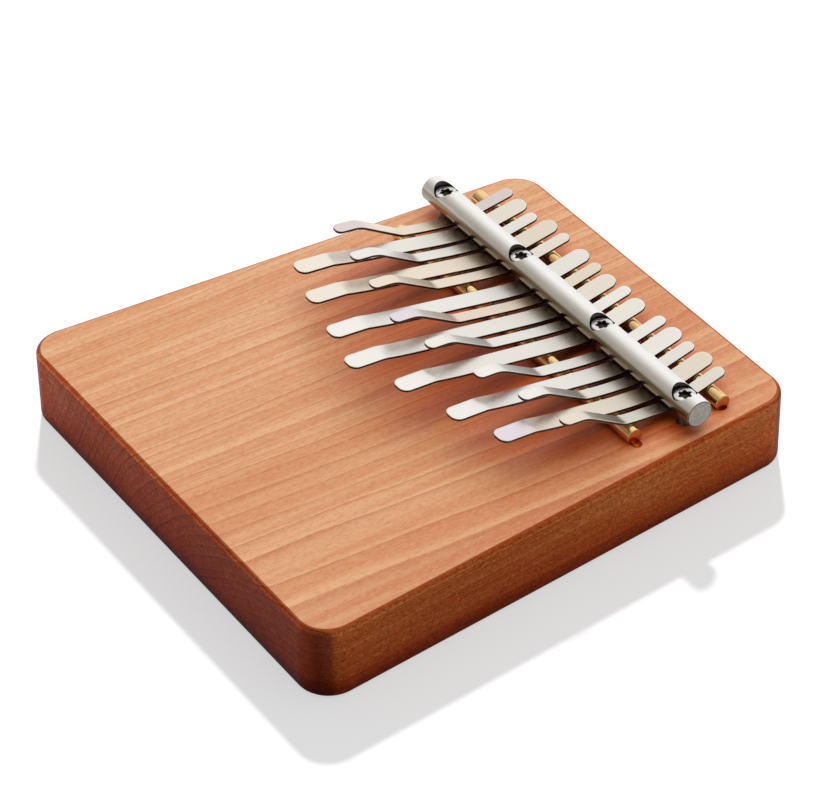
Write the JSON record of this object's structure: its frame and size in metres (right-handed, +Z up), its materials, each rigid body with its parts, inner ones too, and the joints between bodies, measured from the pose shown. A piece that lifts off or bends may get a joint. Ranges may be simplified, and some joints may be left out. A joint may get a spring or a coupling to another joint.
{
  "type": "mbira",
  "caption": "Thumb piano with a solid cherry board and sprung steel tines clamped by a screwed round bar over two brass bridge rods.",
  "frame": {"origin": "middle of the board's flat underside, at the centre of the object's footprint", "axes": "+X along the pressure bar, +Y from the playing ends of the tines towards their tails, +Z up out of the board's top"},
  "size_m": [0.1584, 0.17, 0.0418],
  "materials": {
    "cherry": "oiled, satin",
    "bar_metal": "satin, brushed",
    "brass": "polished",
    "screw_steel": "plated",
    "spring_steel_warm": "satin, warm tint",
    "spring_steel_rose": "satin, rose to lavender tint",
    "spring_steel_cool": "satin, neutral tint"
  },
  "bodies": {
    "body": {"board": "cherry", "pressure_bar": "bar_metal", "rod_front": "brass", "rod_rear": "brass", "screw_1": "screw_steel", "screw_2": "screw_steel", "screw_3": "screw_steel", "screw_4": "screw_steel"},
    "tine_01_body": {"tine_01": "spring_steel_rose"},
    "tongue_01_body": {"tongue_01": "spring_steel_rose"},
    "tine_02_body": {"tine_02": "spring_steel_warm"},
    "tongue_02_body": {"tongue_02": "spring_steel_warm"},
    "tine_03_body": {"tine_03": "spring_steel_cool"},
    "tongue_03_body": {"tongue_03": "spring_steel_cool"},
    "tine_04_body": {"tine_04": "spring_steel_warm"},
    "tongue_04_body": {"tongue_04": "spring_steel_warm"},
    "tine_05_body": {"tine_05": "spring_steel_warm"},
    "tongue_05_body": {"tongue_05": "spring_steel_warm"},
    "tine_06_body": {"tine_06": "spring_steel_cool"},
    "tongue_06_body": {"tongue_06": "spring_steel_cool"},
    "tine_07_body": {"tine_07": "spring_steel_rose"},
    "tongue_07_body": {"tongue_07": "spring_steel_rose"},
    "tine_08_body": {"tine_08": "spring_steel_warm"},
    "tongue_08_body": {"tongue_08": "spring_steel_warm"},
    "tine_09_body": {"tine_09": "spring_steel_cool"},
    "tongue_09_body": {"tongue_09": "spring_steel_cool"},
    "tine_10_body": {"tine_10": "spring_steel_warm"},
    "tongue_10_body": {"tongue_10": "spring_steel_warm"},
    "tine_11_body": {"tine_11": "spring_steel_cool"},
    "tongue_11_body": {"tongue_11": "spring_steel_cool"},
    "tine_12_body": {"tine_12": "spring_steel_cool"},
    "tongue_12_body": {"tongue_12": "spring_steel_cool"},
    "tine_13_body": {"tine_13": "spring_steel_cool"},
    "tongue_13_body": {"tongue_13": "spring_steel_cool"},
    "tine_14_body": {"tine_14": "spring_steel_warm"},
    "tongue_14_body": {"tongue_14": "spring_steel_warm"},
    "tine_15_body": {"tine_15": "spring_steel_warm"},
    "tongue_15_body": {"tongue_15": "spring_steel_warm"}
  },
  "joints": [
    {"name": "tune_01", "type": "slide", "parent": "body", "child": "tine_01_body", "axis": [0.0533, 0.9986, 0], "range_m": [-0.0008, 0.0008]},
    {"name": "flex_01", "type": "hinge", "parent": "tine_01_body", "child": "tongue_01_body", "pos_m": [-0.05517, 0.03115, 0.02976], "axis": [0.9986, -0.0533, 0], "range_deg": [-2, 3], "stiffness_Nm_per_rad": 6.3},
    {"name": "tune_02", "type": "slide", "parent": "body", "child": "tine_02_body", "axis": [0.0461, 0.9989, 0], "range_m": [-0.0008, 0.0008]},
    {"name": "flex_02", "type": "hinge", "parent": "tine_02_body", "child": "tongue_02_body", "pos_m": [-0.04773, 0.03115, 0.02976], "axis": [0.9989, -0.0461, 0], "range_deg": [-2, 3], "stiffness_Nm_per_rad": 5.4},
    {"name": "tune_03", "type": "slide", "parent": "body", "child": "tine_03_body", "axis": [0.0389, 0.9992, 0], "range_m": [-0.0008, 0.0008]},
    {"name": "flex_03", "type": "hinge", "parent": "tine_03_body", "child": "tongue_03_body", "pos_m": [-0.04029, 0.03115, 0.02976], "axis": [0.9992, -0.0389, 0], "range_deg": [-2, 3], "stiffness_Nm_per_rad": 5.5},
    {"name": "tune_04", "type": "slide", "parent": "body", "child": "tine_04_body", "axis": [0.0318, 0.9995, 0], "range_m": [-0.0008, 0.0008]},
    {"name": "flex_04", "type": "hinge", "parent": "tine_04_body", "child": "tongue_04_body", "pos_m": [-0.03285, 0.03115, 0.02976], "axis": [0.9995, -0.0318, 0], "range_deg": [-2, 3], "stiffness_Nm_per_rad": 4.8},
    {"name": "tune_05", "type": "slide", "parent": "body", "child": "tine_05_body", "axis": [0.0246, 0.9997, 0], "range_m": [-0.0008, 0.0008]},
    {"name": "flex_05", "type": "hinge", "parent": "tine_05_body", "child": "tongue_05_body", "pos_m": [-0.02541, 0.03115, 0.02976], "axis": [0.9997, -0.0246, 0], "range_deg": [-2, 3], "stiffness_Nm_per_rad": 5},
    {"name": "tune_06", "type": "slide", "parent": "body", "child": "tine_06_body", "axis": [0.0144, 0.9999, 0], "range_m": [-0.0008, 0.0008]},
    {"name": "flex_06", "type": "hinge", "parent": "tine_06_body", "child": "tongue_06_body", "pos_m": [-0.01488, 0.03115, 0.02976], "axis": [0.9999, -0.0144, 0], "range_deg": [-2, 3], "stiffness_Nm_per_rad": 4.4},
    {"name": "tune_07", "type": "slide", "parent": "body", "child": "tine_07_body", "axis": [0.0072, 1, 0], "range_m": [-0.0008, 0.0008]},
    {"name": "flex_07", "type": "hinge", "parent": "tine_07_body", "child": "tongue_07_body", "pos_m": [-0.00744, 0.03115, 0.02976], "axis": [1, -0.0072, 0], "range_deg": [-2, 3], "stiffness_Nm_per_rad": 4.3},
    {"name": "tune_08", "type": "slide", "parent": "body", "child": "tine_08_body", "axis": [0, 1, 0], "range_m": [-0.0008, 0.0008]},
    {"name": "flex_08", "type": "hinge", "parent": "tine_08_body", "child": "tongue_08_body", "pos_m": [0, 0.03115, 0.02976], "axis": [1, 0, 0], "range_deg": [-2, 3], "stiffness_Nm_per_rad": 4.1},
    {"name": "tune_09", "type": "slide", "parent": "body", "child": "tine_09_body", "axis": [-0.0072, 1, 0], "range_m": [-0.0008, 0.0008]},
    {"name": "flex_09", "type": "hinge", "parent": "tine_09_body", "child": "tongue_09_body", "pos_m": [0.00744, 0.03115, 0.02976], "axis": [1, 0.0072, 0], "range_deg": [-2, 3], "stiffness_Nm_per_rad": 4.6},
    {"name": "tune_10", "type": "slide", "parent": "body", "child": "tine_10_body", "axis": [-0.0144, 0.9999, 0], "range_m": [-0.0008, 0.0008]},
    {"name": "flex_10", "type": "hinge", "parent": "tine_10_body", "child": "tongue_10_body", "pos_m": [0.01488, 0.03115, 0.02976], "axis": [0.9999, 0.0144, 0], "range_deg": [-2, 3], "stiffness_Nm_per_rad": 4.6},
    {"name": "tune_11", "type": "slide", "parent": "body", "child": "tine_11_body", "axis": [-0.0246, 0.9997, 0], "range_m": [-0.0008, 0.0008]},
    {"name": "flex_11", "type": "hinge", "parent": "tine_11_body", "child": "tongue_11_body", "pos_m": [0.02541, 0.03115, 0.02976], "axis": [0.9997, 0.0246, 0], "range_deg": [-2, 3], "stiffness_Nm_per_rad": 5.2},
    {"name": "tune_12", "type": "slide", "parent": "body", "child": "tine_12_body", "axis": [-0.0318, 0.9995, 0], "range_m": [-0.0008, 0.0008]},
    {"name": "flex_12", "type": "hinge", "parent": "tine_12_body", "child": "tongue_12_body", "pos_m": [0.03285, 0.03115, 0.02976], "axis": [0.9995, 0.0318, 0], "range_deg": [-2, 3], "stiffness_Nm_per_rad": 5.2},
    {"name": "tune_13", "type": "slide", "parent": "body", "child": "tine_13_body", "axis": [-0.0389, 0.9992, 0], "range_m": [-0.0008, 0.0008]},
    {"name": "flex_13", "type": "hinge", "parent": "tine_13_body", "child": "tongue_13_body", "pos_m": [0.04029, 0.03115, 0.02976], "axis": [0.9992, 0.0389, 0], "range_deg": [-2, 3], "stiffness_Nm_per_rad": 6.1},
    {"name": "tune_14", "type": "slide", "parent": "body", "child": "tine_14_body", "axis": [-0.0461, 0.9989, 0], "range_m": [-0.0008, 0.0008]},
    {"name": "flex_14", "type": "hinge", "parent": "tine_14_body", "child": "tongue_14_body", "pos_m": [0.04773, 0.03115, 0.02976], "axis": [0.9989, 0.0461, 0], "range_deg": [-2, 3], "stiffness_Nm_per_rad": 5.9},
    {"name": "tune_15", "type": "slide", "parent": "body", "child": "tine_15_body", "axis": [-0.0533, 0.9986, 0], "range_m": [-0.0008, 0.0008]},
    {"name": "flex_15", "type": "hinge", "parent": "tine_15_body", "child": "tongue_15_body", "pos_m": [0.05517, 0.03115, 0.02976], "axis": [0.9986, 0.0533, 0], "range_deg": [-2, 3], "stiffness_Nm_per_rad": 7}
  ]
}
